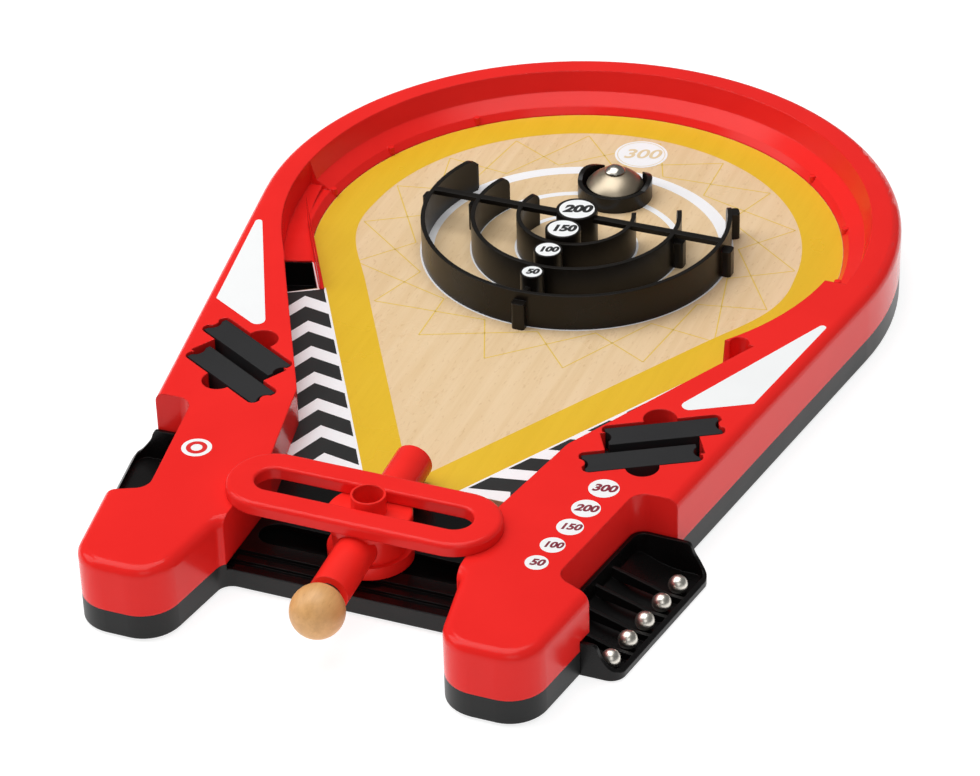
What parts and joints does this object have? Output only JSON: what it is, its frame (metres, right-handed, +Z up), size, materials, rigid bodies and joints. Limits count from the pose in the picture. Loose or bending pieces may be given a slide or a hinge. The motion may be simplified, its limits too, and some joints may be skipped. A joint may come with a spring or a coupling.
{
  "type": "tabletop pinball game",
  "caption": "Teardrop tabletop pinball game with a sliding, swinging spring launcher, a printed board, a ring target, a bell, a ball return and a ball tray.",
  "frame": {"origin": "on the table under the middle of the toy's length and width", "axes": "+X to the player's right, +Y from the player to the round end, +Z up"},
  "size_m": [0.2912, 0.456, 0.0423],
  "materials": {
    "housing_red": "moulded, glossy",
    "bridge_red": "moulded, glossy",
    "launcher_red": "moulded, glossy",
    "base_black": "moulded, satin",
    "target_black": "moulded, glossy",
    "tray_black": "moulded, glossy",
    "bumper_grey": "moulded, matte",
    "bush_black": "moulded, matte",
    "board_wood": "lacquered plywood, printed",
    "knob_wood": "turned, clear lacquer",
    "bell_steel": "plated",
    "ball_steel": "polished",
    "rod_steel": "drawn",
    "spring_steel": "drawn wire",
    "screw_steel": "zinc plated",
    "pad_rubber": "matte"
  },
  "bodies": {
    "housing": {"top_housing": "housing_red", "base_tray": "base_black", "playfield_board": "board_wood", "target_rings": "target_black", "bell_cup": "target_black", "bell_dome": "bell_steel", "bell_nut": "bell_steel", "launcher_bridge": "bridge_red", "lane_tray": "tray_black", "return_cup": "tray_black", "return_chute": "tray_black", "housing_screws": "screw_steel", "target_screws": "screw_steel", "bridge_screws": "screw_steel", "rubber_pads": "pad_rubber"},
    "carriage": {"slide_shoe": "bush_black"},
    "launcher": {"launcher_body": "launcher_red", "barrel_tube": "launcher_red", "barrel_bush": "bush_black", "slide_washer": "screw_steel", "launcher_screw": "screw_steel"},
    "plunger": {"plunger_rod": "rod_steel", "hammer_tip": "bush_black", "plunger_knob": "knob_wood", "plunger_spring": "spring_steel"},
    "bumper_left": {"spare_bumper_left": "bumper_grey"},
    "bumper_right": {"spare_bumper_right": "bumper_grey"},
    "ball_1": {"steel_ball_1": "ball_steel"},
    "ball_2": {"steel_ball_2": "ball_steel"},
    "ball_3": {"steel_ball_3": "ball_steel"},
    "ball_4": {"steel_ball_4": "ball_steel"},
    "ball_5": {"steel_ball_5": "ball_steel"}
  },
  "joints": [
    {"name": "launcher_slide", "type": "slide", "parent": "housing", "child": "carriage", "axis": [1, 0, 0], "range_m": [-0.032, 0.0275]},
    {"name": "launcher_swing", "type": "hinge", "parent": "carriage", "child": "launcher", "pos_m": [0.00225, -0.1591, 0.0123], "axis": [0, 0, 1], "range_deg": [-11.5, 8.5]},
    {"name": "plunger_pull", "type": "slide", "parent": "launcher", "child": "plunger", "axis": [0.0262, -0.9995, -0.0175], "range_m": [0, 0.016], "stiffness_N_per_m": 60, "springref_m": -0.004, "deforming": ["plunger_spring"]},
    {"name": "ball_1_lift", "type": "slide", "parent": "housing", "child": "ball_1", "axis": [0, 0, 1], "range_m": [0, 0.03]},
    {"name": "ball_2_lift", "type": "slide", "parent": "housing", "child": "ball_2", "axis": [0, 0, 1], "range_m": [0, 0.03]},
    {"name": "ball_3_lift", "type": "slide", "parent": "housing", "child": "ball_3", "axis": [0, 0, 1], "range_m": [0, 0.03]},
    {"name": "ball_4_lift", "type": "slide", "parent": "housing", "child": "ball_4", "axis": [0, 0, 1], "range_m": [0, 0.03]},
    {"name": "ball_5_lift", "type": "slide", "parent": "housing", "child": "ball_5", "axis": [0, 0, 1], "range_m": [0, 0.03]},
    {"name": "bumper_left_lift", "type": "slide", "parent": "housing", "child": "bumper_left", "axis": [0, 0, 1], "range_m": [0, 0.025]},
    {"name": "bumper_right_lift", "type": "slide", "parent": "housing", "child": "bumper_right", "axis": [0, 0, 1], "range_m": [0, 0.025]}
  ]
}
